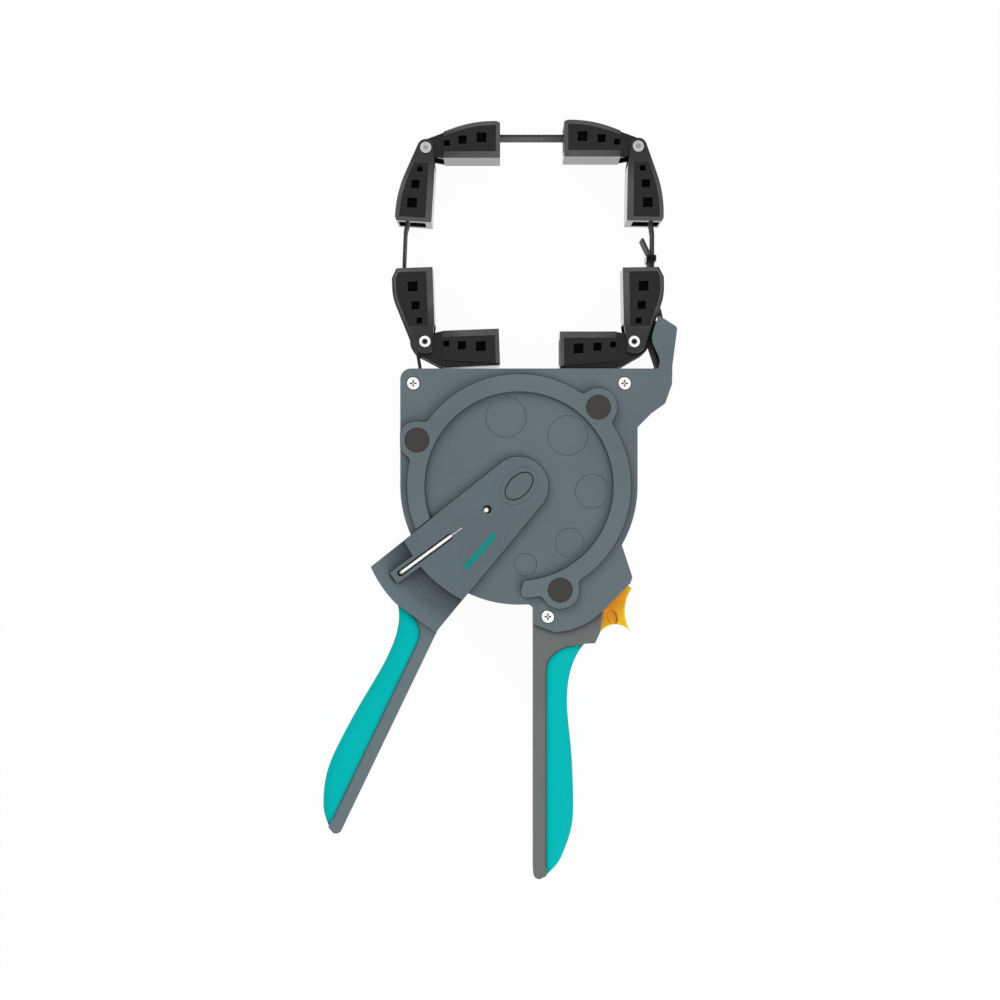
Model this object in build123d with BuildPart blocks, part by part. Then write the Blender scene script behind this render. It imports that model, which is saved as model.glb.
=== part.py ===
from build123d import *
import math
import os

os.makedirs("parts", exist_ok=True)

# One-hand strap clamp, lying on its back. Millimetres, +Z up, +Y towards the corner jaws.
# The drum turns about the Z axis, and z = 0 is the bench under the back cover's raised ring.

# Strap
strap_width = 15.0
strap_thick = 1.2

# Stack across the tool, counted outwards from the middle plane
spool_gap = 1.0  # strap edge to ratchet wheel
wheel_thick = 2.5
washer_thick = 0.8
running_gap = 0.1
plate_thick = 3.0
moving_gap = 0.3
arm_plate_thick = 2.8
ring_proud = 0.3

strap_half = strap_width / 2
wheel_in = strap_half + spool_gap
wheel_out = wheel_in + wheel_thick
cover_in = wheel_out + washer_thick + running_gap
cover_out = cover_in + plate_thick
lever_in = cover_out + moving_gap
lever_out = lever_in + arm_plate_thick
ring_out = lever_out + ring_proud
middle = ring_out

# Housing
housing_r = 54.8
housing_top = 54.3
corner_r = 5.0
wall = 2.2
disc_r = 43.6
ring_r = 51.5
boss_r = 8.7
web_round = 3.0
ring_end_round = 2.6
plug_r = 5.75
plug_depth = 1.2
post_r = 2.9
boss_angles = (155.8, 44.8, 291.6)
mark_depth = 0.35
marks = ((100.8, 9.5), (46.0, 9.4), (-4.0, 8.0), (-48.1, 6.8), (-85.4, 5.4))  # angle and radius
mark_edge_r = 41.9
screw_spots = ((-48.8, 47.4), (48.8, 47.4), (13.3, -60.3))
screw_head_r = 3.0
screw_head_thick = 1.6
screw_r = 1.4
fit_gap = 0.05
ring_end_gap = 0.4
handle_x = 6.7
# Handle flange and trigger bump, as distances beyond the round case and angles
flange = ((14.6, 283.6), (15.8, 292.9), (14.7, 303.7))
bump = ((13.5, 318.9), (12.5, 321.2))
bump_end_angle = 330.2
foot_drop = 9.0
horn = ((54.8, 27.1), (61.2, 33.6), (67.6, 38.2), (70.7, 47.1), (70.9, 55.7), (73.2, 73.4))
horn_tip = (64.7, 78.8)
horn_inside = ((62.2, 71.8), (61.6, 67.5), (64.4, 60.6))
horn_wall = 1.4
lever_window = (206.0, 263.0)
mouth_x = (-ring_r + 2.3, -ring_r + 8.3)
channel_floor = 46.8
anchor_spot = (66.3, 50.5)
anchor_r = 1.2
horn_foot = (64.4, housing_top)
tongue_x = (handle_x, 39.4)

# Drum and ratchet
axle_r = 5.0
axle_gap = 0.08
spool_r = 11.0
coil_r = 39.0
tooth_tip_r = 44.5
tooth_depth = 3.2
teeth = 30
tooth_lean = 13.0  # of a tooth's steep face, from the radius
spring_depth = 1.9

# Lever
lever_angle = 224.4
lever_travel = 24.0
hub_r = 13.5
arm_taper = 5.9
scoop_gap = 3.7  # from the round case to the scoop across the lever's head
scoop_depth = 4.2
scoop_width = 19.0
cap_long = 20.0
cap_wide = 14.0
cap_floor = 1.3
cap_rim = 2.0
wire_r = 1.0
wire_angle = 216.3
wire_start_r = 18.7
slot_start_r = 39.6
thin_slot = (36.0, 7.0, 1.1)  # middle's radius, length between its ends' centres, width
slot_width = 2.9
rail_width = 6.0
head_gap = 0.8
head_corners = ((74.8, -21.2), (77.4, -12.0), (78.4, -1.0), (74.6, 21.4))
lever_screws = ((68.5, 14.0), (71.5, -16.0))
handle_screws = (118.0, 166.0)
lever_screw_r = 1.1
lever_screw_head_r = 2.1
lever_screw_head_thick = 1.3
screw_sink = 0.3  # of a screw's head below its face
head_screw_depth = 6.5
screw_bite = 6.5  # past the middle plane
wire_leg_end = 5.0

# Pawls
pawl_pin_r = 2.0
pawl_boss_r = 3.6
pawl_lift = 7.5
drive_pivot_r = 59.0
tail_reach = 8.7  # from the drive pawl's pin to the wire spring's leg
drive_lift = 6.0
drive_reach = 35.0
hold_pivot_r = 55.5
hold_reach = 30.0
tail_thick = 3.0
drive_pin_half = 12.6
tongue_gap = 7.0  # from the teeth to the handle's tongue, for the lifted drive pawl
trigger_half = 6.0
trigger_tips = ((52.7, -47.5), (49.4, -57.4), (52.2, -68.0), (45.8, -64.4), (37.6, -68.5))
trigger_root = (34.6, -64.5)
trigger_neck = (37.6, -52.0)
trigger_spring_foot = (29.0, -58.0)
trigger_spring_long = 6.8
trigger_spring_r = 1.9
trigger_spring_turns = 5

# Handles: both grips are drawn along the handle and outwards from its inner edge
strip_width = 6.1
strip_round = 3.2
lever_strip_start = 74.0
fixed_strip_start = 60.0
grip_start = 80.0
grip_points = ((96.0, 15.8), (119.0, 17.3), (144.0, 18.6), (160.0, 17.4), (172.0, 13.1))
grip_heel = (79.9, 7.9)
grip_shoulders = {"lever_grip": (73.6, 22.3), "fixed_grip": (73.0, 24.0)}
grip_crown = (75.6, 13.6)
grip_tip = (180.6, strip_width)
grip_proud = 0.6
grip_round = 4.5
spine_half = 6.5
spine_width = 12.0
spine_end = 160.0
handle_end = 182.0
lever_handle_angle = lever_angle + 19.9
lever_handle_offset = -4.95
fixed_handle_angle = 270.0

# Corner jaws
jaw_width = 25.0
jaw_wall = 2.3
ear_thick = 2.0
jaw_length = 34.4
jaw_pin_r = 1.5
rivet_r = 2.6
rivet_thick = 0.7
face_offset = 4.7  # rivet's middle to the clamping face
face_thick = 3.0
window_depth = 4.0
panel_border = 2.0
panel_depth = 0.5
window_sizes = (2.8, 3.9, 4.7)
window_places = (9.8, 17.0, 25.8)
body_start = 8.2
skin = 1.6
slim = {"heel": 4.0, "rise": 20.5, "top": 12.3, "bend": 55.0, "round": 0.0, "tip": 0.8}
deep = {"heel": 6.3, "rise": 20.0, "top": 14.4, "bend": 25.0, "round": 1.6, "tip": 2.2}
flat = {"heel": 7.0, "rise": 30.0, "top": 12.1, "bend": 8.0, "round": 0.0, "tip": 0.4}
step_start = 8.0  # height at which a base arm's stepped face begins
high_windows = (2.2, 3.8, 4.8)
low_windows = (1.3, 2.4, 3.1)
upper_left = (-43.1, 156.7)
upper_right = (55.3, 157.3)
lower_left = (-43.5, 66.9)
lower_right = (53.4, 66.9)
pin_gap = 0.08
nape_depth = 3.3
step_thick = 2.2

# Keeper and the strap's route
keeper_low = 104.7
keeper_tall = 2.8
keeper_inside = (60.0, 63.3)
keeper_skin = 0.7
mouth = ((mouth_x[0] + mouth_x[1]) / 2 + 0.2, housing_top)
top_level = 162.9

jaw_half = jaw_width / 2
ear_out = jaw_half - jaw_wall - moving_gap
ear_in = ear_out - ear_thick
tooth_root_r = tooth_tip_r - tooth_depth
wire_level = lever_in + wire_r + 0.1


def polar(radius, angle):
    """The point at this radius and angle about the drum's axis."""
    return (radius * math.cos(math.radians(angle)), radius * math.sin(math.radians(angle)))


def height(side, distance):
    """The plane at this distance from the middle plane, on the front (1) or the back (-1)."""
    return Plane.XY.offset(middle + side * distance)


def along(angle, side, distance):
    """The same plane with its x axis turned about the drum's axis."""
    turned_x = (*polar(1, angle), 0)
    return Plane(origin=(0, 0, middle + side * distance), x_dir=turned_x, z_dir=(0, 0, 1))


def turned(pivot, angle, distance):
    """The plane that holds a shape drawn about the drum's axis, turned about a pivot."""
    swing = Vector(*pivot).rotate(Axis.Z, angle)
    origin = (pivot[0] - swing.X, pivot[1] - swing.Y, middle + distance)
    return Plane(origin=origin, x_dir=(*polar(1, angle), 0), z_dir=(0, 0, 1))


def save(piece, name):
    """Label one piece and write it."""
    piece.part.label = name
    export_step(piece.part, f"parts/{name}.step")


# Lever edges, as lines on which the housing's ring ends
left_edge_angle = lever_angle - arm_taper
right_edge_angle = lever_angle + arm_taper + lever_travel
step_r = housing_r + scoop_gap
wire_end_r = drive_pivot_r + tail_reach


def beside(edge_angle, side_angle, distance):
    """A point beside the lever's edge line, this far out along it."""
    offset = polar(hub_r + ring_end_gap, edge_angle + side_angle)
    forward = polar(distance, edge_angle)
    return (offset[0] + forward[0], offset[1] + forward[1])


flange_points = [polar(housing_r + beyond, angle) for beyond, angle in flange]
bump_points = [polar(housing_r + beyond, angle) for beyond, angle in bump]


def housing_outline():
    """The covers' outline: a round drum case with a square top, a horn and a handle flange."""
    with BuildSketch() as outline:
        with BuildLine():
            corner = polar(housing_r, bump_end_angle)
            foot = (handle_x, -math.sqrt(housing_r**2 - handle_x**2))
            upper = (housing_r, 0)
            ThreePointArc((-housing_r, 0), polar(housing_r, 230), foot)
            Polyline(foot, (handle_x, -housing_r - foot_drop), flange_points[0])
            ThreePointArc(*flange_points)
            Polyline(flange_points[2], *bump_points, corner)
            ThreePointArc(corner, polar(housing_r, -14), upper)
            Polyline(upper, *horn, horn_tip)
            Spline(horn_tip, *horn_inside, horn_foot)
            Polyline(horn_foot, (-housing_r, housing_top), (-housing_r, 0))
        make_face()
        left_corner = outline.vertices().group_by(Axis.X)[0].sort_by(Axis.Y)[-1]
        fillet(left_corner, corner_r)
        inner_corner = outline.vertices().sort_by_distance((*foot, 0))[0]
        fillet(inner_corner, 3.0)
        nose = outline.vertices().sort_by_distance((*horn[5], 0))[0]
        fillet(nose, 2.0)
    return outline.sketch


outline = housing_outline()
bump_inside = [
    (handle_x + wall, -housing_r + 3 * wall),
    (handle_x + wall, -housing_r - foot_drop + 0.8 * wall),
    (flange_points[2][0] - 0.5 * wall, flange_points[2][1] + wall),
    (bump_points[0][0] - 1.3 * wall, bump_points[0][1]),
    (bump_points[1][0] - wall, bump_points[1][1]),
    polar(housing_r - 0.8 * wall, bump_end_angle),
    polar(housing_r / 2, bump_end_angle),
]
hold_contact = left_edge_angle + 0.2 + drive_reach + 96.0
hold_pivot = polar(hold_pivot_r, hold_contact - hold_reach)
drive_pivot_angle = left_edge_angle + 0.2
drive_contact = drive_pivot_angle + drive_reach
drive_pivot = polar(drive_pivot_r, drive_pivot_angle)


def pawl_outline(pivot_r, reach, contact):
    """A pawl seated in a tooth, drawn about the drum's axis: its nose, its back and its boss."""
    seat_gap = 0.3
    lean = math.tan(math.radians(tooth_lean))
    pivot = polar(pivot_r, -reach)
    root = tooth_root_r + 0.4
    crest = tooth_tip_r + 2.6
    nose = (
        (root, -seat_gap),
        (crest, (crest - tooth_root_r) * lean - seat_gap),
        (crest + 1.3, -12.0),
        (pivot[0] + pawl_boss_r, pivot[1]),
        (pivot[0] - pawl_boss_r, pivot[1]),
        (tooth_tip_r + 0.6, -9.0),
        (tooth_root_r + 2.0, -5.0),
    )
    with BuildSketch(Plane.XY.rotated((0, 0, contact))) as shape:
        with BuildLine():
            Polyline(*nose, close=True)
        make_face()
        with Locations(pivot):
            Circle(pawl_boss_r)
    return shape.sketch


hold_shape = pawl_outline(hold_pivot_r, hold_reach, hold_contact)
drive_shape = pawl_outline(drive_pivot_r, drive_reach, drive_contact)

# Trigger's outline in the tool's own place: a hub on the pawl's pin and a bow-tie finger piece


def trigger_outline(extra=0.0):
    """The trigger, with room around it when it is drawn for its recess."""
    with BuildSketch() as shape:
        with BuildLine():
            top = (hold_pivot[0] + 5.5, hold_pivot[1] - 8.5)
            Polyline(trigger_root, trigger_neck, (hold_pivot[0] - 3.0, hold_pivot[1]))
            Line((hold_pivot[0] - 3.0, hold_pivot[1]), (hold_pivot[0] + 3.0, hold_pivot[1]))
            Polyline((hold_pivot[0] + 3.0, hold_pivot[1]), top, trigger_tips[0])
            ThreePointArc(trigger_tips[0], trigger_tips[1], trigger_tips[2])
            ThreePointArc(trigger_tips[2], trigger_tips[3], trigger_tips[4])
            Line(trigger_tips[4], trigger_root)
        make_face()
        with Locations(hold_pivot):
            Circle(pawl_boss_r + 0.6)
        if extra:
            offset(amount=extra)
    return shape.sketch


def swept_trigger():
    """The space that the trigger needs between its two ends."""
    with BuildSketch() as space:
        for angle in (0, pawl_lift):
            add(trigger_outline(0.5).moved(pivot_turn(hold_pivot, angle)))
    return space.sketch


def pivot_turn(pivot, angle):
    """The move that turns a shape about a pivot."""
    return Location((*pivot, 0)) * Location((0, 0, 0), (0, 0, angle)) * Location((-pivot[0], -pivot[1], 0))


trigger_space = swept_trigger()
pawl_space = offset(hold_shape.moved(pivot_turn(hold_pivot, -pawl_lift)), 0.5)
with BuildSketch() as drive_room:
    for angle in (0, -drive_lift / 2, -drive_lift):
        add(offset(drive_shape.moved(pivot_turn(drive_pivot, angle)), 0.5))
drive_space = drive_room.sketch
ring_cut = [
    beside(left_edge_angle, -90, 20),
    beside(left_edge_angle, -90, 90),
    beside(right_edge_angle, 90, 90),
    beside(right_edge_angle, 90, 20),
]
wedge_r = 1.65 * housing_r
window_middle = sum(lever_window) / 2
window_wedge = [(0, 0), polar(wedge_r, lever_window[0])]
window_wedge += [polar(1.2 * wedge_r, window_middle), polar(wedge_r, lever_window[1])]


def ring_outline():
    """The raised ring with its bosses, cut off beside the lever, with soft corners."""
    bosses = [Vector(*polar(ring_r, angle)) for angle in boss_angles]
    with BuildSketch() as ring:
        Circle(ring_r)
        with Locations(*bosses):
            Circle(boss_r)
        add(outline, mode=Mode.INTERSECT)
        Circle(disc_r, mode=Mode.SUBTRACT)
        with BuildLine():
            Polyline(*ring_cut, close=True)
        make_face(mode=Mode.SUBTRACT)
        on_ring = [v for v in ring.vertices() if abs(v.center().length - ring_r) < 0.01]
        webs = [v for v in on_ring if abs(min((v.center() - b).length for b in bosses) - boss_r) < 0.01]
        fillet(webs, web_round)
        free_end = (*beside(right_edge_angle, 90, (disc_r + ring_r) / 2), 0)
        fillet(ring.vertices().sort_by_distance(free_end)[:2], ring_end_round)
    return ring.sketch


ring_shape = ring_outline()


def make_cover(side, name):
    """One half of the housing: plate, side wall, raised ring, bosses and posts."""
    with BuildPart() as cover:
        with BuildSketch(height(side, 0)):
            add(outline)
        extrude(amount=side * cover_out)
        # The hollow, with its mouths for the strap, the lever's pawl, the handle and the trigger
        with BuildSketch(height(side, 0)):
            inner_r = housing_r - wall
            Circle(inner_r)
            with Locations((0, (housing_top - wall) / 2)):
                RectangleRounded(2 * inner_r, housing_top - wall, corner_r - wall)
            with BuildLine():
                Polyline(*bump_inside, close=True)
            make_face()
            with Locations(((mouth_x[0] + mouth_x[1]) / 2, housing_top)):
                Rectangle(mouth_x[1] - mouth_x[0], 4 * wall)
            with BuildLine():
                Polyline(*window_wedge, close=True)
            make_face()
            with BuildLine():
                inside_x = horn[4][0] - horn_wall
                Polyline(
                    (horn_foot[0] - 2.4, channel_floor),
                    (inside_x, channel_floor),
                    (inside_x + 0.2, 57.0),
                    (horn[5][0] - horn_wall - 0.5, 71.0),
                    (horn[5][0] - 3.2, 90.0),
                    (50.0, 90.0),
                    (50.0, housing_top + 1.0),
                    (horn_foot[0] - 2.4, housing_top + 1.0),
                    close=True,
                )
            make_face()
            with Locations(((tongue_x[0] + tongue_x[1]) / 2, -65.5)):
                Rectangle(tongue_x[1] - tongue_x[0], 31)
            add(pawl_space)
        extrude(amount=side * cover_in, mode=Mode.SUBTRACT)
        with BuildSketch(height(side, 0)):
            add(trigger_space)
        extrude(amount=side * (trigger_half + 0.5), mode=Mode.SUBTRACT)
        # Posts that meet the other half
        with BuildSketch(height(side, 0)):
            with Locations(*[polar(ring_r, a) for a in boss_angles], *screw_spots[:2]):
                Circle(post_r)
        extrude(amount=side * (cover_in + 0.2))
        with BuildSketch(height(side, cover_out - 0.2)):
            add(ring_shape)
        extrude(amount=side * (ring_out - cover_out + 0.2))
        # Plug seats in the bosses
        with BuildSketch(height(side, ring_out)):
            with Locations(*[polar(ring_r, a) for a in boss_angles]):
                Circle(plug_r)
        extrude(amount=-side * plug_depth, mode=Mode.SUBTRACT)
        # Axle bore, and the recess round it for the return spring
        with BuildSketch(height(side, cover_in - 1)):
            Circle(axle_r + axle_gap)
        extrude(amount=side * (plate_thick + 2), mode=Mode.SUBTRACT)
        if side > 0:
            with BuildSketch(height(side, cover_out)):
                Circle(hub_r - 1.5)
            extrude(amount=-side * spring_depth, mode=Mode.SUBTRACT)
            with BuildSketch(height(side, cover_out)):
                for angle, radius in marks:
                    with Locations(polar(mark_edge_r - radius, angle)):
                        Circle(radius)
            extrude(amount=-side * mark_depth, mode=Mode.SUBTRACT)
            with BuildSketch(height(side, cover_out)):
                with Locations(*screw_spots):
                    Circle(screw_head_r + 0.2)
            extrude(amount=-side * (screw_head_thick - 0.5), mode=Mode.SUBTRACT)
        with BuildSketch(height(side, 0)):
            with Locations(*screw_spots):
                Circle(screw_r + fit_gap)
        extrude(amount=side * (cover_out if side > 0 else cover_in - 2), mode=Mode.SUBTRACT)
    save(cover, name)


make_cover(1, "front_cover")
make_cover(-1, "back_cover")


def make_plugs(side, name):
    """Round plugs over the posts, flush with the bosses."""
    with BuildPart() as plugs:
        with BuildSketch(height(side, ring_out - plug_depth)):
            with Locations(*[polar(ring_r, a) for a in boss_angles]):
                Circle(plug_r - fit_gap)
        extrude(amount=side * (plug_depth - 0.2))
    save(plugs, name)


make_plugs(1, "front_plugs")
make_plugs(-1, "back_plugs")

with BuildPart() as screws:
    screw_seat = cover_out - screw_head_thick + 0.5
    with BuildSketch(height(1, screw_seat)):
        with Locations(*screw_spots):
            Circle(screw_head_r)
    extrude(amount=screw_head_thick)
    fillet(screws.edges().group_by(Axis.Z)[-1], 0.6)
    with BuildSketch(height(1, screw_seat)):
        with Locations(*screw_spots):
            Circle(screw_r)
    extrude(amount=-(screw_seat + cover_in - 4))
    with BuildSketch(height(1, screw_seat + screw_head_thick)):
        with Locations(*screw_spots):
            Rectangle(3.0, 0.7)
            Rectangle(0.7, 3.0)
    extrude(amount=-0.8, mode=Mode.SUBTRACT)
save(screws, "cover_screws")

axle_half = lever_in + cap_floor - moving_gap
with BuildPart() as axle:
    with BuildSketch(height(-1, axle_half)):
        Circle(axle_r)
    extrude(amount=2 * axle_half)
save(axle, "pivot_axle")


def make_cap(side, name):
    """The oval cap that locks the lever to the axle, set into the lever's plate."""
    with BuildPart() as cap:
        with BuildSketch(along(lever_angle, side, lever_in + cap_floor)):
            Ellipse(cap_long / 2 - fit_gap, cap_wide / 2 - fit_gap)
        extrude(amount=side * (arm_plate_thick - cap_floor + 0.1))
        with BuildSketch(along(lever_angle, side, lever_out + 0.1)):
            Ellipse(cap_long / 2 - cap_rim, cap_wide / 2 - cap_rim)
            Ellipse(cap_long / 2 - cap_rim - 0.6, cap_wide / 2 - cap_rim - 0.6, mode=Mode.SUBTRACT)
        extrude(amount=-side * 0.5, mode=Mode.SUBTRACT)
    save(cap, name)


make_cap(1, "front_hub_cap")
make_cap(-1, "back_hub_cap")

with BuildPart() as spring:
    with BuildSketch(height(1, cover_out - spring_depth + 0.15)):
        Circle(hub_r - 2.0)
        Circle(axle_r + 0.6, mode=Mode.SUBTRACT)
        with Locations((0, hub_r - 4.0)):
            Rectangle(1.5, 6.0, mode=Mode.SUBTRACT)
    extrude(amount=spring_depth - 0.3)
    # Gaps between the turns
    for turn in range(4):
        turn_r = axle_r + 1.6 + 1.2 * turn
        with BuildSketch(height(1, cover_out - 0.15)):
            Circle(turn_r + 0.3)
            Circle(turn_r, mode=Mode.SUBTRACT)
        extrude(amount=-1.0, mode=Mode.SUBTRACT)
save(spring, "lever_return_spring")

with BuildPart() as washers:
    for side in (1, -1):
        with BuildSketch(height(side, wheel_out + running_gap)):
            Circle(spool_r - 1)
            Circle(axle_r + axle_gap, mode=Mode.SUBTRACT)
        extrude(amount=side * washer_thick)
save(washers, "thrust_washers")

# Drum: spool, two toothed wheels and the wound strap
with BuildPart() as spool:
    with BuildSketch(height(-1, wheel_out)):
        Circle(spool_r - 2)
    extrude(amount=2 * wheel_out)
    with BuildSketch(height(-1, wheel_in)):
        Circle(spool_r)
    extrude(amount=2 * wheel_in)
    with BuildSketch(height(-1, wheel_out)):
        Circle(axle_r + axle_gap)
    extrude(amount=2 * wheel_out, mode=Mode.SUBTRACT)
save(spool, "drum_spool")


def wheel_points():
    """Saw teeth whose steep faces look clockwise, so that both pawls push or hold them."""
    pitch = 360 / teeth
    lean = math.degrees(math.atan(tooth_depth * math.tan(math.radians(tooth_lean)) / tooth_tip_r))
    points = []
    for n in range(teeth):
        foot = drive_contact + n * pitch
        points += [polar(tooth_root_r, foot), polar(tooth_tip_r, foot + lean)]
    return points


def make_wheel(side, name):
    """A ratchet wheel, which is also the drum's flange."""
    with BuildPart() as wheel:
        with BuildSketch(height(side, wheel_in)):
            with BuildLine():
                Polyline(*wheel_points(), close=True)
            make_face()
            Circle(spool_r - 2, mode=Mode.SUBTRACT)
            with PolarLocations(27.0, 6):
                Circle(6.5, mode=Mode.SUBTRACT)
        extrude(amount=side * wheel_thick)
    save(wheel, name)


make_wheel(1, "front_ratchet_wheel")
make_wheel(-1, "back_ratchet_wheel")

with BuildPart() as coil:
    with BuildSketch(height(-1, strap_half)):
        Circle(coil_r)
        Circle(spool_r, mode=Mode.SUBTRACT)
    extrude(amount=strap_width)
save(coil, "strap_coil")

# Holding pawl, trigger, their pin and spring
hub_slot_r = pawl_boss_r + 4.0
with BuildPart() as hold_pawl:
    with BuildSketch(turned(hold_pivot, -pawl_lift, -wheel_out)):
        add(hold_shape)
    extrude(amount=2 * wheel_out)
    with BuildSketch(height(-1, trigger_half + 0.2)):
        with Locations(hold_pivot):
            Circle(hub_slot_r)
    extrude(amount=2 * (trigger_half + 0.2), mode=Mode.SUBTRACT)
    with BuildSketch(height(-1, wheel_out)):
        with Locations(hold_pivot):
            Circle(pawl_pin_r + fit_gap)
    extrude(amount=2 * wheel_out, mode=Mode.SUBTRACT)
save(hold_pawl, "holding_pawl")

with BuildPart() as trigger:
    with BuildSketch(height(-1, trigger_half)):
        add(trigger_outline())
    extrude(amount=2 * trigger_half)
    with BuildSketch(height(-1, trigger_half)):
        with Locations(hold_pivot):
            Circle(pawl_pin_r + fit_gap)
    extrude(amount=2 * trigger_half, mode=Mode.SUBTRACT)
    with BuildSketch(height(1, trigger_half)):
        with Locations(Location((43.4, -61.0), 20)):
            Ellipse(2.4, 3.8)
    extrude(amount=-1.5, mode=Mode.SUBTRACT)
save(trigger, "release_trigger")

with BuildPart() as hold_pin:
    with BuildSketch(height(-1, cover_in)):
        with Locations(hold_pivot):
            Circle(pawl_pin_r)
    extrude(amount=2 * cover_in)
save(hold_pin, "holding_pawl_pin")

# Drive pawl and its pin, held between the lever's halves
with BuildPart() as drive_pawl:
    with BuildSketch(turned(drive_pivot, -drive_lift, -wheel_out)):
        add(drive_shape)
    extrude(amount=2 * wheel_out)
    with BuildSketch(along(drive_pivot_angle, -1, wheel_out)):
        with Locations(((drive_pivot_r + wire_end_r + 1) / 2, 0)):
            Rectangle(wire_end_r + 1 - drive_pivot_r, tail_thick)
    extrude(amount=2 * wheel_out)
    with BuildSketch(height(-1, wheel_out)):
        with Locations(drive_pivot):
            Circle(pawl_pin_r + fit_gap)
    extrude(amount=2 * wheel_out, mode=Mode.SUBTRACT)
save(drive_pawl, "drive_pawl")

with BuildPart() as drive_pin:
    with BuildSketch(height(-1, drive_pin_half)):
        with Locations(drive_pivot):
            Circle(pawl_pin_r)
    extrude(amount=2 * drive_pin_half)
save(drive_pin, "drive_pawl_pin")


# Handles: both have the same grip, drawn along the handle and outwards from its inner edge


def handle_plane(angle, inner_offset, flip):
    """A handle's middle plane: x runs along it and y outwards from its inner edge."""
    z_dir = (0, 0, -1) if flip else (0, 0, 1)
    return Plane(
        origin=(*polar(inner_offset, angle + 90), middle),
        x_dir=(*polar(1, angle), 0),
        z_dir=z_dir,
    )


lever_handle = handle_plane(lever_handle_angle, lever_handle_offset, True)
fixed_handle = handle_plane(fixed_handle_angle, handle_x, False)


def grip_outline(shoulder):
    """The soft grip from the side, from its shoulder at the top to its tip."""
    inner_top = (grip_start + 6.0, strip_width)
    with BuildSketch() as shape:
        with BuildLine():
            Spline(shoulder, *grip_points, grip_tip, tangents=((1, -0.9), (1, -1.1)))
            Line(grip_tip, inner_top)
            Spline(inner_top, grip_heel, grip_crown, shoulder, tangents=((-1, 0.1), (-0.3, 1)))
        make_face()
    return shape.sketch


def make_grip(plane, name):
    """A soft grip moulded round a handle's spine."""
    with BuildPart() as grip:
        with BuildSketch(plane):
            add(grip_outline(grip_shoulders[name]))
        extrude(amount=cover_in + grip_proud, both=True)
        outer = [e for e in grip.edges().filter_by(GeomType.BSPLINE) if e.length > 60]
        fillet(outer, grip_round)
        with BuildSketch(plane):
            with Locations(((grip_start + spine_end) / 2, strip_width)):
                Rectangle(spine_end - grip_start + 4, 2 * (spine_width - strip_width))
        extrude(amount=spine_half, both=True, mode=Mode.SUBTRACT)
    save(grip, name)


make_grip(lever_handle, "lever_grip")
make_grip(fixed_handle, "fixed_grip")


def handle_strip(start):
    """The handle's inner strip, rounded at its end."""
    with BuildSketch() as strip:
        with BuildLine():
            Polyline((start, 0), (handle_end - strip_round, 0))
            corner = (handle_end - 0.13 * strip_round, 0.38 * strip_round)
            ThreePointArc((handle_end - strip_round, 0), corner, (handle_end, strip_round))
            Polyline((handle_end, strip_round), grip_tip, (start, strip_width), (start, 0))
        make_face()
    return strip.sketch


def spine(start):
    """The part of the handle that the grip covers."""
    with BuildSketch() as core:
        with Locations(((start + spine_end) / 2, spine_width / 2)):
            Rectangle(spine_end - start, spine_width)
    return core.sketch


with BuildPart() as fixed_core:
    with BuildSketch(fixed_handle):
        add(handle_strip(fixed_strip_start))
    extrude(amount=cover_in, both=True)
    with BuildSketch(height(-1, cover_in)):
        with BuildLine():
            tongue_r = tooth_tip_r + tongue_gap
            left = (handle_x, -math.sqrt(tongue_r**2 - handle_x**2))
            right = (28.0, -math.sqrt(tongue_r**2 - 28.0**2))
            ThreePointArc(left, polar(tongue_r, -70), right)
            Polyline(right, (38.0, -52.0), (39.1, -57.0), (37.6, -67.8), (35.3, -72.8), (30.7, -73.0))
            Polyline((30.7, -73.0), (25.0, -78.0), (handle_x + 9.0, -91.0), (handle_x, -91.0), left)
        make_face()
    extrude(amount=2 * cover_in)
    with BuildSketch(fixed_handle):
        add(grip_outline(grip_shoulders["fixed_grip"]))
    extrude(amount=jaw_half, both=True, mode=Mode.SUBTRACT)
    with BuildSketch(fixed_handle):
        add(spine(grip_start - 2))
    extrude(amount=spine_half, both=True)
    with BuildSketch(height(-1, trigger_half + 0.5)):
        add(trigger_space)
    extrude(amount=2 * trigger_half + 1, mode=Mode.SUBTRACT)
    pocket_x = trigger_spring_foot[0] - 0.4
    with BuildSketch(Plane(origin=(pocket_x, trigger_spring_foot[1], middle), z_dir=(1, 0, 0))):
        Circle(trigger_spring_r + 0.3)
    extrude(amount=trigger_spring_long + 1, mode=Mode.SUBTRACT)
    with BuildSketch(height(-1, cover_in)):
        with Locations(polar(ring_r, boss_angles[2])):
            Circle(post_r + 0.3)
        with Locations(screw_spots[2]):
            Circle(screw_r + fit_gap)
        add(pawl_space)
    extrude(amount=2 * cover_in, mode=Mode.SUBTRACT)
save(fixed_core, "fixed_handle")

# Lever, in two halves screwed together from the back


def lever_outline():
    """The lever's arm and head from the front, along its own middle line."""
    edge = math.radians(arm_taper)
    near = (-hub_r * math.sin(edge), hub_r * math.cos(edge))
    with BuildSketch() as shape:
        Circle(hub_r)
        with BuildLine():
            Polyline((near[0], near[1]), head_corners[3], head_corners[2])
            Spline(head_corners[2], head_corners[1], head_corners[0])
            Polyline(head_corners[0], (near[0], -near[1]), (near[0], near[1]))
        make_face()
    return shape.sketch


neck_points = [(70.0, 3.0), (71.0, 20.0), grip_shoulders["lever_grip"]]
neck_points += [(80.0, 16.0), (91.0, 9.0), (91.0, 3.0)]


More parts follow.
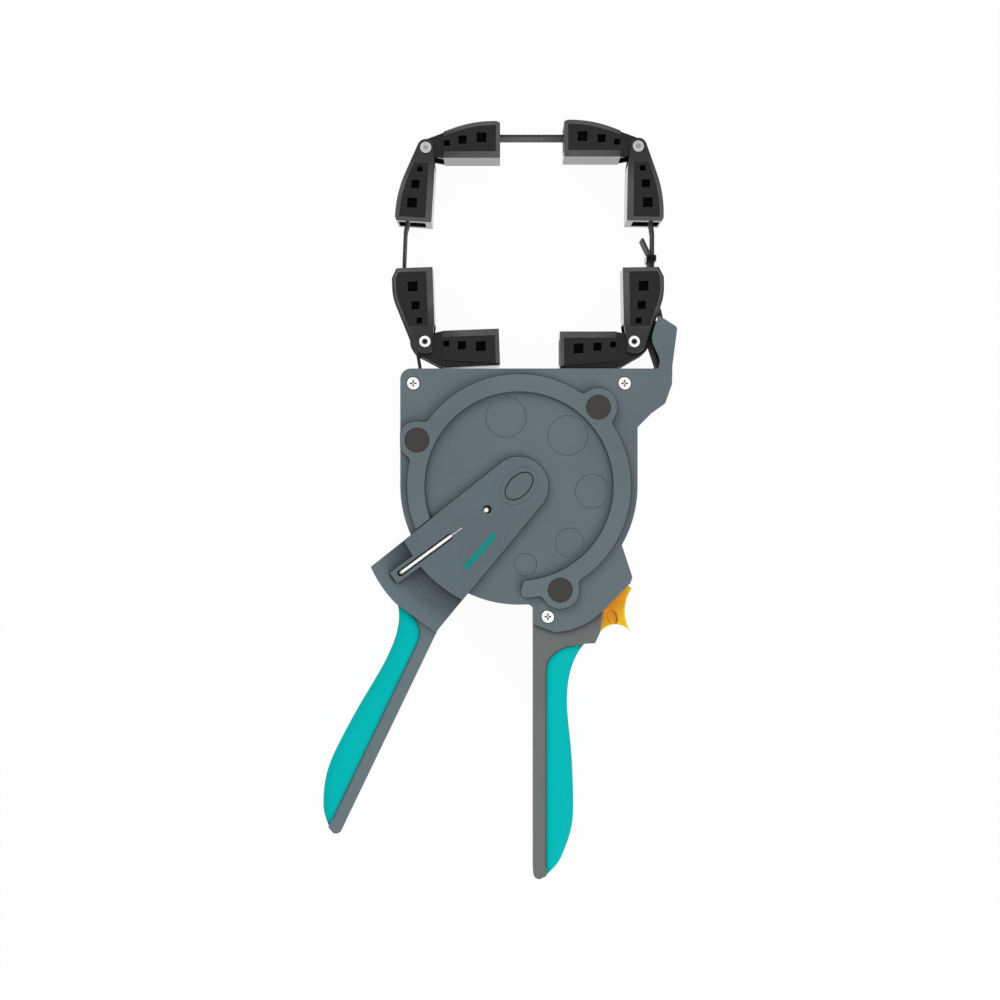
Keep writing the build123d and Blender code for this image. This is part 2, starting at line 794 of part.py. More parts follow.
def make_lever_half(side, name):
    """One half of the lever: arm plate, head with its scoop, handle strip and spine."""
    with BuildPart() as half:
        with BuildSketch(along(lever_angle, side, 0)):
            add(lever_outline())
        extrude(amount=side * lever_out)
        # Neck between the head and the grip
        with BuildSketch(lever_handle):
            with BuildLine():
                Polyline(*neck_points, close=True)
            make_face()
        extrude(amount=-side * cover_in)
        with BuildSketch(lever_handle):
            add(grip_outline(grip_shoulders["lever_grip"]))
        extrude(amount=-side * jaw_half, mode=Mode.SUBTRACT)
        with BuildSketch(lever_handle):
            add(handle_strip(lever_strip_start))
        extrude(amount=-side * cover_in)
        with BuildSketch(lever_handle):
            add(spine(grip_start - 2))
        extrude(amount=-side * spine_half)
        with BuildSketch(height(side, 0)):
            Circle(housing_r + head_gap)
        extrude(amount=side * lever_in, mode=Mode.SUBTRACT)
        # Scoop across the head, deepest beside the housing
        with BuildSketch(Plane.XZ):
            with BuildLine():
                top = middle + side * (lever_out + 1)
                low = middle + side * (lever_out - scoop_depth)
                brim = (step_r + scoop_width, middle + side * lever_out)
                inner = (step_r, low)
                ThreePointArc(inner, (step_r + 0.53 * scoop_width, low + side * 0.9), brim)
                Polyline(brim, (brim[0], top), (step_r, top), inner)
            make_face()
        revolve(axis=Axis.Z, mode=Mode.SUBTRACT)
        # Room for the drive pawl and its tail
        with BuildSketch(height(side, 0)):
            add(drive_space)
        with BuildSketch(along(drive_pivot_angle, side, 0)):
            room = tail_thick + 5.8
            with Locations(((drive_pivot_r + wire_end_r) / 2, -0.2)):
                Rectangle(tail_reach + 2 * slot_width, room)
        extrude(amount=side * (wheel_out + 0.4), mode=Mode.SUBTRACT)
        with BuildSketch(height(side, 0)):
            with Locations(drive_pivot):
                Circle(pawl_pin_r + fit_gap)
        extrude(amount=side * drive_pin_half, mode=Mode.SUBTRACT)
        # Axle bore and the seat of its oval cap
        with BuildSketch(along(lever_angle, side, lever_in + cap_floor)):
            Ellipse(cap_long / 2, cap_wide / 2)
        extrude(amount=side * arm_plate_thick, mode=Mode.SUBTRACT)
        with BuildSketch(height(side, 0)):
            Circle(axle_r + fit_gap)
        extrude(amount=side * lever_out, mode=Mode.SUBTRACT)
        if side > 0:
            # Rail, slot, tunnel and end hole of the pawl's wire spring
            with BuildSketch(along(wire_angle, side, cover_out - 1)):
                with Locations(((step_r + wire_end_r + 4) / 2, 0)):
                    Rectangle(wire_end_r + 4 - step_r, rail_width)
            extrude(amount=side * (lever_out - cover_out + 1))
            with BuildSketch(along(wire_angle, side, lever_out)):
                with Locations(((slot_start_r + wire_end_r) / 2, 0)):
                    SlotCenterToCenter(wire_end_r - slot_start_r, slot_width)
                with Locations((thin_slot[0], 0)):
                    SlotCenterToCenter(thin_slot[1], thin_slot[2])
                with Locations((wire_start_r - 0.6, 0)):
                    Circle(slot_width / 2 + 0.5)
            extrude(amount=-side * (lever_out - cover_out), mode=Mode.SUBTRACT)
            with BuildSketch(along(wire_angle, side, lever_in)):
                with Locations(((wire_start_r + slot_start_r) / 2, 0)):
                    Rectangle(slot_start_r - wire_start_r + 2, 2 * wire_r + 0.4)
            extrude(amount=side * (2 * wire_r + 0.2), mode=Mode.SUBTRACT)
            with BuildSketch(along(wire_angle, side, 0)):
                with Locations((wire_end_r, 0)):
                    Circle(slot_width / 2)
            extrude(amount=side * lever_out, mode=Mode.SUBTRACT)
        screw_half = lever_out if side < 0 else screw_bite + 0.5
        with BuildSketch(along(lever_angle, side, 0)):
            with Locations(*lever_screws):
                Circle(lever_screw_r + fit_gap)
        extrude(amount=side * screw_half, mode=Mode.SUBTRACT)
        with BuildSketch(lever_handle):
            with Locations(*[(t, strip_width / 2) for t in handle_screws]):
                Circle(lever_screw_r + fit_gap)
        extrude(amount=-side * screw_half, mode=Mode.SUBTRACT)
        if side < 0:
            with BuildSketch(along(lever_angle, side, lever_out)):
                with Locations(*lever_screws):
                    Circle(lever_screw_head_r + 0.2)
            extrude(amount=-side * head_screw_depth, mode=Mode.SUBTRACT)
            with BuildSketch(lever_handle.offset(cover_in)):
                with Locations(*[(t, strip_width / 2) for t in handle_screws]):
                    Circle(lever_screw_head_r + 0.2)
            extrude(amount=-lever_screw_head_thick - screw_sink, mode=Mode.SUBTRACT)
    save(half, name)


make_lever_half(1, "lever_front_half")
make_lever_half(-1, "lever_back_half")

with BuildPart() as small_screws:
    with BuildSketch(along(lever_angle, -1, lever_out - head_screw_depth)):
        with Locations(*lever_screws):
            Circle(lever_screw_head_r)
    extrude(amount=-lever_screw_head_thick)
    with BuildSketch(along(lever_angle, -1, lever_out - head_screw_depth)):
        with Locations(*lever_screws):
            Circle(lever_screw_r)
    extrude(amount=lever_out - head_screw_depth + screw_bite)
    handle_seat = cover_in - lever_screw_head_thick - screw_sink
    with BuildSketch(lever_handle.offset(handle_seat)):
        with Locations(*[(t, strip_width / 2) for t in handle_screws]):
            Circle(lever_screw_head_r)
    extrude(amount=lever_screw_head_thick)
    with BuildSketch(lever_handle.offset(handle_seat)):
        with Locations(*[(t, strip_width / 2) for t in handle_screws]):
            Circle(lever_screw_r)
    extrude(amount=-(handle_seat + screw_bite))
save(small_screws, "lever_screws")

with BuildPart() as wire:
    wire_dir = polar(1, wire_angle)
    wire_plane = Plane(origin=(0, 0, middle), x_dir=(*wire_dir, 0), z_dir=(wire_dir[1], -wire_dir[0], 0))
    with BuildLine(wire_plane) as wire_path:
        FilletPolyline(
            (wire_start_r, lever_out - 0.3),
            (wire_start_r, wire_level),
            (wire_end_r, wire_level),
            (wire_end_r, wire_leg_end),
            radius=1.0,
        )
    with BuildSketch(Plane(origin=wire_path.line @ 0, z_dir=wire_path.line % 0)):
        Circle(wire_r)
    sweep()
save(wire, "drive_pawl_spring")

# Corner jaws: arms hinged in pairs on a rivet, drawn along the arm and outwards from the work


def arm_outline(form, inset, inner):
    """An arm from the side: a heel round the rivet, a rising back and a straight clamping face."""
    heel = form["heel"] - inset
    top = form["top"] - inset
    rise = math.radians(form["rise"])
    bend = form["bend"]
    start = (-heel * math.sin(rise), heel * math.cos(rise))
    bend_y = top - bend * (1 - math.cos(rise))
    bend_x = (bend_y - heel / math.cos(rise)) / math.tan(rise)
    crest_x = bend_x + bend * math.sin(rise)
    half_way = (crest_x - bend * math.sin(rise / 2), top - bend * (1 - math.cos(rise / 2)))
    nape = min(heel - 0.3, nape_depth)
    with BuildSketch() as shape:
        Circle(heel)
        with Locations((0, -nape - 10)):
            Rectangle(40, 20, mode=Mode.SUBTRACT)
        with BuildLine():
            Line(start, (bend_x, bend_y))
            ThreePointArc((bend_x, bend_y), half_way, (crest_x, top))
            tip = form["tip"]
            Polyline((crest_x, top), (jaw_length - 2 * tip, top), (jaw_length, top - tip))
            Polyline((jaw_length, top - tip), (jaw_length, inner), (body_start, inner))
            Polyline((body_start, inner), (0, -nape), (0, 0), start)
        make_face()
    return shape.sketch


def arm_plane(pin, angle, flip):
    """An arm's middle plane, on its rivet, with x along the arm and y away from the work."""
    z_dir = (0, 0, -1) if flip else (0, 0, 1)
    return Plane(origin=(*pin, middle), x_dir=(*polar(1, angle), 0), z_dir=z_dir)


def make_arm(name, pin, angle, flip, form, window_rise, outer_ears, door=0.0):
    """One hollow arm of a corner jaw, with the strap's channel and blind square windows."""
    plane = arm_plane(pin, angle, flip)
    with BuildPart() as arm:
        with BuildSketch(plane):
            add(arm_outline(form, 0, -face_offset))
        extrude(amount=jaw_half, both=True)
        outer = [e for e in arm.edges() if abs(e.center().Z - middle) > jaw_half - 0.1]
        spots = [plane.to_local_coords(e.center()) for e in outer]
        outer = [e for e, at in zip(outer, spots) if at.Y > form["heel"] and at.X < jaw_length - 0.1]
        if form["round"]:
            fillet(outer, form["round"])
        with BuildSketch(plane):
            add(arm_outline(form, skin, face_thick - face_offset))
            with Locations((jaw_length, (face_thick - face_offset + form["top"] - skin) / 2)):
                Rectangle(4, form["top"] - skin - face_thick + face_offset)
            with Locations(((body_start + door) / 2 - 8, 0)):
                Rectangle(body_start + door + 16, 40)
            if door:
                with Locations((body_start + 16, face_thick - face_offset - 10)):
                    Rectangle(32, 20, mode=Mode.SUBTRACT)
        extrude(amount=ear_in, both=True, mode=Mode.SUBTRACT)
        if outer_ears:
            with BuildSketch(plane):
                with Locations((body_start / 2 - 8, 0)):
                    Rectangle(body_start + 16.8, 40)
            extrude(amount=ear_out + moving_gap, both=True, mode=Mode.SUBTRACT)
        else:
            for side in (1, -1):
                with BuildSketch(plane.offset(side * ear_out)):
                    with Locations((body_start / 2 - 8, 0)):
                        Rectangle(body_start + 16, 40)
                extrude(amount=side * (jaw_half - ear_out), mode=Mode.SUBTRACT)
        if form is flat:
            # The back is narrower than the faces, with a step that runs out towards the arm's end
            clear = 2 * form["top"]
            beyond = jaw_length + 1
            for side in (1, -1):
                with BuildSketch(plane.offset(side * (jaw_half - step_thick))):
                    with BuildLine():
                        Polyline((0, step_start), (beyond, form["top"] - 0.5), (beyond, clear))
                        Polyline((beyond, clear), (0, clear), (0, step_start))
                    make_face()
                extrude(amount=side * step_thick, mode=Mode.SUBTRACT)
        # Shallow panel round the windows; on a stepped arm it runs out into the step
        panel_edge = 0 if form is flat else panel_border
        panel_end = jaw_length - panel_border
        for side in (1, -1):
            with BuildSketch(plane.offset(side * jaw_half)):
                with Locations(((body_start + panel_end) / 2 - 0.5, 0)):
                    Rectangle(panel_end - body_start + 1, 4 * form["top"])
                add(arm_outline(form, panel_edge, face_thick - face_offset), mode=Mode.INTERSECT)
            extrude(amount=-side * panel_depth, mode=Mode.SUBTRACT)
        for side in (1, -1):
            with BuildSketch(plane.offset(side * jaw_half)):
                for place, rise, size in zip(window_places, window_rise, window_sizes):
                    with Locations((place, rise)):
                        Rectangle(size, size)
            extrude(amount=-side * window_depth, mode=Mode.SUBTRACT)
        with BuildSketch(plane):
            Circle(jaw_pin_r + (pin_gap if outer_ears else fit_gap))
        extrude(amount=jaw_half, both=True, mode=Mode.SUBTRACT)
    save(arm, name)


make_arm("upper_left_top_arm", upper_left, 0, False, slim, high_windows, False)
make_arm("upper_right_top_arm", upper_right, 180, True, slim, high_windows, False)
make_arm("upper_left_side_arm", upper_left, 266.5, True, slim, high_windows, True)
make_arm("upper_right_side_arm", upper_right, 269, False, slim, high_windows, True)
make_arm("lower_left_side_arm", lower_left, 92, False, deep, high_windows, True)
make_arm("lower_right_side_arm", lower_right, 91, True, deep, high_windows, True, door=16.0)
make_arm("lower_left_base_arm", lower_left, 2.2, True, flat, low_windows, False)
make_arm("lower_right_base_arm", lower_right, 180, False, flat, low_windows, False)


def make_rivets(places, hollow_r, name):
    """Rivets through the jaws' ears, some with hollow heads."""
    with BuildPart() as rivets:
        with BuildSketch(height(-1, jaw_half)):
            with Locations(*places):
                Circle(jaw_pin_r)
        extrude(amount=2 * jaw_half)
        for side in (1, -1):
            with BuildSketch(height(side, jaw_half)):
                with Locations(*places):
                    Circle(rivet_r)
            extrude(amount=side * rivet_thick)
            if hollow_r:
                with BuildSketch(height(side, jaw_half + rivet_thick)):
                    with Locations(*places):
                        Circle(hollow_r)
                extrude(amount=-side * 3.0, mode=Mode.SUBTRACT)
    save(rivets, name)


make_rivets([upper_left, upper_right], 0, "upper_jaw_rivets")
make_rivets([lower_left], 1.1, "lower_left_rivet")
make_rivets([lower_right], 1.1, "lower_right_rivet")

# Strap: wound on the drum, up through the left jaws, over the top, down to the horn's anchor
wrap_r = jaw_pin_r + 0.3 + strap_thick / 2
lead_r = coil_r + 0.3 + strap_thick / 2
mouth_r = math.hypot(*mouth)
lead_angle = math.degrees(math.atan2(mouth[1], mouth[0]) + math.acos(lead_r / mouth_r))
lead_path = [polar(lead_r, lead_angle), mouth, (-51.3, 86.0)]
left_path = [
    (-47.4, 78.5),
    (-49.2, 89.0),
    (-53.6, 101.5),
    (-52.9, 118.7),
    (upper_left[0] - wrap_r - 0.8, 145.0),
    (upper_left[0] - wrap_r - 0.4, 152.0),
]
top_path = [
    left_path[-1],
    (upper_left[0] - wrap_r, upper_left[1] + wrap_r),
    (upper_left[0] + jaw_length, top_level),
    (upper_right[0] - jaw_length, top_level),
    (upper_right[0] + wrap_r, upper_right[1] + wrap_r),
    (upper_right[0] + wrap_r + 0.4, 152.0),
]
right_path = [top_path[-1], (upper_right[0] + wrap_r + 0.8, 145.0), (62.4, 118.0), (62.4, 77.0)]
anchor_path = [
    (64.4, 97.0),
    (65.3, 83.0),
    (68.0, 72.0),
    (anchor_spot[0] + anchor_r + 0.1 + strap_thick / 2, 57.0),
    (anchor_spot[0] + anchor_r + 0.1 + strap_thick / 2, anchor_spot[1] - anchor_r - 0.7),
    (anchor_spot[0] - anchor_r - 0.1 - strap_thick / 2, anchor_spot[1] - anchor_r - 0.7),
    (anchor_spot[0] - anchor_r - 0.1 - strap_thick / 2, 56.5),
    (60.9, 67.0),
    (60.9, keeper_low + keeper_tall + 0.5),
    (57.4, 115.3),
]
bend_radii = {"strap_lead": 2.0, "strap_left_run": 8.0, "strap_top_run": 2.3, "strap_right_run": 8.0}


def make_strap(path, radius, name):
    """A run of flat strap on edge, along lines joined by arcs."""
    with BuildPart() as run:
        with BuildLine(Plane.XY.offset(middle)) as line:
            FilletPolyline(*path, radius=radius)
        start = Plane(origin=line.line @ 0, z_dir=line.line % 0, x_dir=(0, 0, 1))
        with BuildSketch(start):
            Rectangle(strap_width, strap_thick)
        sweep()
    save(run, name)


make_strap(lead_path, bend_radii["strap_lead"], "strap_lead")
make_strap(left_path, bend_radii["strap_left_run"], "strap_left_run")
make_strap(top_path, bend_radii["strap_top_run"], "strap_top_run")
make_strap(right_path, bend_radii["strap_right_run"], "strap_right_run")
make_strap(anchor_path, 1.85, "strap_anchor_loop")

with BuildPart() as anchor:
    with BuildSketch(height(-1, cover_in)):
        with Locations(anchor_spot):
            Circle(anchor_r)
    extrude(amount=2 * cover_in)
save(anchor, "strap_anchor_pin")

# Keeper that holds the loose tail beside the strap
with BuildPart() as keeper:
    keeper_x = (keeper_inside[0] + keeper_inside[1]) / 2
    keeper_span = keeper_inside[1] - keeper_inside[0]
    ring_plane = Plane(origin=(keeper_x, keeper_low, middle), x_dir=(1, 0, 0), z_dir=(0, 1, 0))
    with BuildSketch(ring_plane):
        RectangleRounded(keeper_span + 2 * keeper_skin, strap_width + 0.8 + 2 * keeper_skin, 1.2)
        Rectangle(keeper_span, strap_width + 0.8, mode=Mode.SUBTRACT)
    extrude(amount=keeper_tall)
save(keeper, "strap_keeper")

# Coil spring behind the trigger, in a pocket of the handle
with BuildPart() as trigger_spring:
    with BuildSketch(Plane(origin=(*trigger_spring_foot, middle), z_dir=(0, 0, 1))):
        with BuildLine():
            crests = []
            for turn in range(trigger_spring_turns):
                start = turn * trigger_spring_long / trigger_spring_turns
                crests += [(start, trigger_spring_r - 0.5)]
                crests += [(start + trigger_spring_long / trigger_spring_turns / 2, trigger_spring_r)]
            crests += [(trigger_spring_long, trigger_spring_r - 0.5)]
            Polyline((0, 0), *crests, (trigger_spring_long, 0), (0, 0))
        make_face()
    revolve(axis=Axis((*trigger_spring_foot, middle), (1, 0, 0)))
save(trigger_spring, "trigger_spring")
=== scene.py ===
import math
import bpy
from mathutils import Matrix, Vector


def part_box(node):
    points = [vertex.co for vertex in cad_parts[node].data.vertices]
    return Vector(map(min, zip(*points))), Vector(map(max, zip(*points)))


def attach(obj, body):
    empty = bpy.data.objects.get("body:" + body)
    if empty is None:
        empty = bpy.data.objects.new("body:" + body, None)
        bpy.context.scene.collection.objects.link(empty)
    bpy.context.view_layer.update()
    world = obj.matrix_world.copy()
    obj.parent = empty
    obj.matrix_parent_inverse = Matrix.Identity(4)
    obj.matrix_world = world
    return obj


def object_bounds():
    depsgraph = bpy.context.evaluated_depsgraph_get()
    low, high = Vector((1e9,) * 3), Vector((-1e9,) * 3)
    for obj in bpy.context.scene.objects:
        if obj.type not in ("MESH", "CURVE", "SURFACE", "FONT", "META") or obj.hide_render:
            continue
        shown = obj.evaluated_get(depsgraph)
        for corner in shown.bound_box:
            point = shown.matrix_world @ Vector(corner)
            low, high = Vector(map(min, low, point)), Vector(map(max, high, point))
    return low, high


bl_info = {
    "name": "Strap clamp",
    "version": (1, 0, 0),
    "blender": (4, 5, 0),
    "location": "View3D > Sidebar > Strap clamp",
    "description": "Dresses the strap clamp's frame: finishes, small pieces, camera and studio",
    "category": "Object",
}

import bmesh
import bpy
from mathutils import Matrix, Vector

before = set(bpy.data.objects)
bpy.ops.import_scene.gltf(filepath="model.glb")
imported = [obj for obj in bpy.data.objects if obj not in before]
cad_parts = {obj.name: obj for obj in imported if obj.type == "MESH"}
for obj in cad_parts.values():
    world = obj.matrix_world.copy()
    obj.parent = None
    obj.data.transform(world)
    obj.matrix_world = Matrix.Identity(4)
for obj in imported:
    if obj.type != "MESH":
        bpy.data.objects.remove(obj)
cad_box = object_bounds()

MIDDLE = sum(corner.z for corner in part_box("strap_coil")) / 2
LEVER_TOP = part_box("lever_front_half")[1].z
JAW_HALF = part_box("upper_left_top_arm")[1].z - MIDDLE
HOUSING_RADIUS = -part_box("front_cover")[0].x
WINDOW_DEPTH = 0.004
SURFACE_SLACK = 0.0002  # how far a point may be from a surface's level and still be taken as on it
SEAM_HALF = 0.00014
STRIPE_PLACE = (-0.0178, -0.0300)
STRIPE_PROUD = 0.00006
STRIPE_SUNK = 0.0003
FLOOR_DROP = 0.0002
SENSOR_WIDTH = 36.0  # millimetres
LAMP_SIZE = 1.2
KEY_PLACE = (-0.9, 1.2, 1.5)
FILL_PLACE = (1.1, -1.0, 1.4)

# Where the lever's painted scoop shade and its paler stem begin and end, as distances beyond the round housing
SCOOP_START = 0.002
SCOOP_DARK = 0.004
SCOOP_END = 0.019
STEM_START = 0.014
STEM_END = 0.024
SCOOP_SUNK = 0.0005  # how far below the lever's top the scoop begins

# Share of open sky at which the painted shade in a crevice starts, and at which it is darkest
CREVICE_SHADE_START = 0.86
CREVICE_SHADE_FULL = 0.45

# Tones, as multiples of a material's own colour; the step, window and dimple tones are painted shade
STEP_SHADE_TONE = 0.3
STEM_TONE = 1.28
RIM_TONE = 10.0
WINDOW_SHADE_TONE = 0.1
SEAM_TONE = 0.35
DIMPLE_SHADE_TONE = 0.6

# Radii of the painted shade in the lower rivets' hollow eyes and in the upper ones' dimples
EYE_RADIUS = 0.0014
DIMPLE_RADIUS = 0.0012

# Colours of pieces that aren't among the finish's settings
SPOOL_GREY = (0.2, 0.2, 0.2)
DARK_STEEL = (0.30, 0.30, 0.31)
TRIGGER_YELLOW = (1.0, 0.55, 0.004)
TRIGGER_EDGE_HIGHLIGHT = (1.0, 0.62, 0.04)
STRIPE_WORN = (0.06, 0.17, 0.18)
FLOOR_WHITE = (0.92, 0.92, 0.92, 1.0)
FLOOR_GLOW = 0.96  # share of the floor's look that is plain white

RIVET_HALF = (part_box("lower_left_rivet")[1].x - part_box("lower_left_rivet")[0].x) / 2


def box_centre(name):
    """The middle of a node's box."""
    low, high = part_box(name)
    return (low + high) / 2


def jaw_pins():
    """The four rivets' axes: the two upper ones share a node, and stand at its box's ends."""
    low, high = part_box("upper_jaw_rivets")
    inset = Vector((RIVET_HALF, RIVET_HALF, 0.0))
    return low + inset, high - inset, box_centre("lower_left_rivet"), box_centre("lower_right_rivet")


JAW_PINS = jaw_pins()


class ClampFinish(bpy.types.PropertyGroup):
    """Colours of the clamp's materials."""

    housing: bpy.props.FloatVectorProperty(
        name="Housing", description="Moulded housing", subtype="COLOR", size=3, default=(0.110, 0.142, 0.155)
    )
    lever: bpy.props.FloatVectorProperty(
        name="Lever", description="Moulded lever", subtype="COLOR", size=3, default=(0.098, 0.131, 0.147)
    )
    handle: bpy.props.FloatVectorProperty(
        name="Handle", description="Fixed handle's core", subtype="COLOR", size=3, default=(0.130, 0.143, 0.141)
    )
    grip: bpy.props.FloatVectorProperty(
        name="Grip", description="Soft grips", subtype="COLOR", size=3, default=(0.001, 0.495, 0.485)
    )
    trigger: bpy.props.FloatVectorProperty(
        name="Trigger", description="Release trigger", subtype="COLOR", size=3, default=(1.0, 0.310, 0.003)
    )
    jaws: bpy.props.FloatVectorProperty(
        name="Jaws", description="Corner jaws", subtype="COLOR", size=3, default=(0.011, 0.011, 0.011)
    )
    plugs: bpy.props.FloatVectorProperty(
        name="Plugs", description="Round plugs", subtype="COLOR", size=3, default=(0.046, 0.043, 0.041)
    )
    strap: bpy.props.FloatVectorProperty(
        name="Strap", description="Woven strap", subtype="COLOR", size=3, default=(0.012, 0.012, 0.013)
    )
    steel: bpy.props.FloatVectorProperty(
        name="Steel", description="Screws, rivets and wire", subtype="COLOR", size=3, default=(0.86, 0.86, 0.86)
    )
    stripe: bpy.props.FloatVectorProperty(
        name="Stripe",
        description="Plain stripe on the lever",
        subtype="COLOR",
        size=3,
        default=(0.008, 0.262, 0.255),
    )
    stripe_length: bpy.props.FloatProperty(
        name="Stripe length", description="Length of the lever's stripe", default=0.0217, unit="LENGTH"
    )
    stripe_width: bpy.props.FloatProperty(
        name="Stripe width", description="Width of the lever's stripe", default=0.0028, unit="LENGTH"
    )
    stripe_turn: bpy.props.FloatProperty(
        name="Stripe direction",
        description="Stripe's angle on the lever",
        default=math.radians(48.7),
        unit="ROTATION",
    )
    edge_radius: bpy.props.FloatProperty(
        name="Edge softness", description="Radius of the moulded edges", default=0.0005, unit="LENGTH"
    )


class ClampStudio(bpy.types.PropertyGroup):
    """Camera, floor and lights."""

    lens: bpy.props.FloatProperty(name="Lens", description="Focal length in millimetres", default=78.0)
    distance: bpy.props.FloatProperty(
        name="Distance", description="Camera to the clamp's front", default=0.997, unit="LENGTH"
    )
    shift_x: bpy.props.FloatProperty(
        name="Centre X", description="Camera's place across", default=-0.00874, unit="LENGTH"
    )
    shift_y: bpy.props.FloatProperty(
        name="Centre Y", description="Camera's place along", default=-0.00644, unit="LENGTH"
    )
    floor_size: bpy.props.FloatProperty(name="Floor", description="Side of the floor", default=6.0, unit="LENGTH")
    key_power: bpy.props.FloatProperty(
        name="Key", description="Lamp at the upper left", default=15.0, unit="POWER"
    )
    fill_power: bpy.props.FloatProperty(
        name="Fill", description="Lamp at the lower right", default=16.0, unit="POWER"
    )
    sky: bpy.props.FloatProperty(name="Sky", description="Light from all round", default=0.55)


def new_material(name, metallic=0.0, roughness=0.5):
    """An empty material with its shader, ready for its pattern."""
    material = bpy.data.materials.new(name)
    material.use_nodes = True
    shader = material.node_tree.nodes["Principled BSDF"]
    shader.inputs["Metallic"].default_value = metallic
    shader.inputs["Roughness"].default_value = roughness
    return material, shader


def add_node(material, kind, **sockets):
    """A node with its named sockets set."""
    node = material.node_tree.nodes.new(kind)
    for socket, value in sockets.items():
        node.inputs[socket.replace("_", " ")].default_value = value
    return node


def link(material, output, target):
    """Joins two sockets."""
    material.node_tree.links.new(output, target)


def noise(material, scale, detail=2.0, stretch=(1.0, 1.0, 1.0)):
    """A noise pattern in the object's own coordinates."""
    place = add_node(material, "ShaderNodeTexCoord")
    mapping = add_node(material, "ShaderNodeMapping", Scale=stretch)
    pattern = add_node(material, "ShaderNodeTexNoise", Scale=scale, Detail=detail)
    link(material, place.outputs["Object"], mapping.inputs["Vector"])
    link(material, mapping.outputs["Vector"], pattern.inputs["Vector"])
    return pattern.outputs["Fac"]


def ramp(material, value, low, high, low_value, high_value):
    """The value spread from one range to another."""
    node = material.node_tree.nodes.new("ShaderNodeMapRange")
    for socket, number in zip(("From Min", "From Max", "To Min", "To Max"), (low, high, low_value, high_value)):
        node.inputs[socket].default_value = number
    link(material, value, node.inputs["Value"])
    return node.outputs["Result"]


def blend_colours(material, factor, first, second):
    """Two colours mixed by a factor; either may be a colour or a socket."""
    node = material.node_tree.nodes.new("ShaderNodeMix")
    node.data_type = "RGBA"
    link(material, factor, node.inputs["Factor"])
    for socket, value in (("A", first), ("B", second)):
        target = [i for i in node.inputs if i.name == socket and i.type == "RGBA"][0]
        if isinstance(value, bpy.types.NodeSocket):
            link(material, value, target)
        else:
            target.default_value = (*value, 1.0)
    return [o for o in node.outputs if o.type == "RGBA"][0]


def maths(material, operation, first, second=None):
    """One Math node; each input is a number or a socket."""
    node = material.node_tree.nodes.new("ShaderNodeMath")
    node.operation = operation
    for index, value in enumerate((first, second)):
        if isinstance(value, bpy.types.NodeSocket):
            link(material, value, node.inputs[index])
        elif value is not None:
            node.inputs[index].default_value = value
    return node.outputs["Value"]


def level(material):
    """Distance from the clamp's middle plane."""
    place = add_node(material, "ShaderNodeTexCoord")
    split = material.node_tree.nodes.new("ShaderNodeSeparateXYZ")
    link(material, place.outputs["Object"], split.inputs["Vector"])
    return maths(material, "ABSOLUTE", maths(material, "SUBTRACT", split.outputs["Z"], MIDDLE))


def facing(material):
    """One on faces that look at the front or the back, nothing on side walls."""
    geometry = material.node_tree.nodes.new("ShaderNodeNewGeometry")
    split = material.node_tree.nodes.new("ShaderNodeSeparateXYZ")
    link(material, geometry.outputs["True Normal"], split.inputs["Vector"])
    return ramp(material, maths(material, "ABSOLUTE", split.outputs["Z"]), 0.6, 0.8, 0.0, 1.0)


def painted_crevice_shade(material, reach):
    """One in inner corners and narrow gaps, where shade is painted into the colour."""
    node = add_node(material, "ShaderNodeAmbientOcclusion", Distance=reach)
    node.samples = 8
    return ramp(material, node.outputs["AO"], CREVICE_SHADE_START, CREVICE_SHADE_FULL, 0.0, 1.0)


def shade(colour, factor):
    """A colour made lighter or darker."""
    return tuple(min(1.0, channel * factor) for channel in colour)


def soft_normal(material, radius):
    """A normal that rounds sharp edges, and how near an edge each point is."""
    bevel = add_node(material, "ShaderNodeBevel", Radius=radius)
    bevel.samples = 6
    geometry = material.node_tree.nodes.new("ShaderNodeNewGeometry")
    dot = material.node_tree.nodes.new("ShaderNodeVectorMath")
    dot.operation = "DOT_PRODUCT"
    link(material, bevel.outputs["Normal"], dot.inputs[0])
    link(material, geometry.outputs["Normal"], dot.inputs[1])
    return bevel.outputs["Normal"], ramp(material, dot.outputs["Value"], 0.995, 0.93, 0.0, 1.0)


def bump(material, height, depth, strength=1.0, normal=None):
    """Fine relief from a height pattern."""
    node = add_node(material, "ShaderNodeBump", Distance=depth, Strength=strength)
    link(material, height, node.inputs["Height"])
    if normal is not None:
        link(material, normal, node.inputs["Normal"])
    return node.outputs["Normal"]


def within(material, value, low, high):
    """One where a value lies between two limits."""
    return maths(
        material,
        "MULTIPLY",
        maths(material, "GREATER_THAN", value, low),
        maths(material, "LESS_THAN", value, high),
    )


def distance(material, centre):
    """Distance from an axis that stands upright at the centre."""
    place = add_node(material, "ShaderNodeTexCoord")
    flat = material.node_tree.nodes.new("ShaderNodeVectorMath")
    flat.operation = "MULTIPLY"
    flat.inputs[1].default_value = (1.0, 1.0, 0.0)
    link(material, place.outputs["Object"], flat.inputs[0])
    away = material.node_tree.nodes.new("ShaderNodeVectorMath")
    away.operation = "DISTANCE"
    away.inputs[1].default_value = (centre[0], centre[1], 0.0)
    link(material, flat.outputs["Vector"], away.inputs[0])
    return away.outputs["Value"]


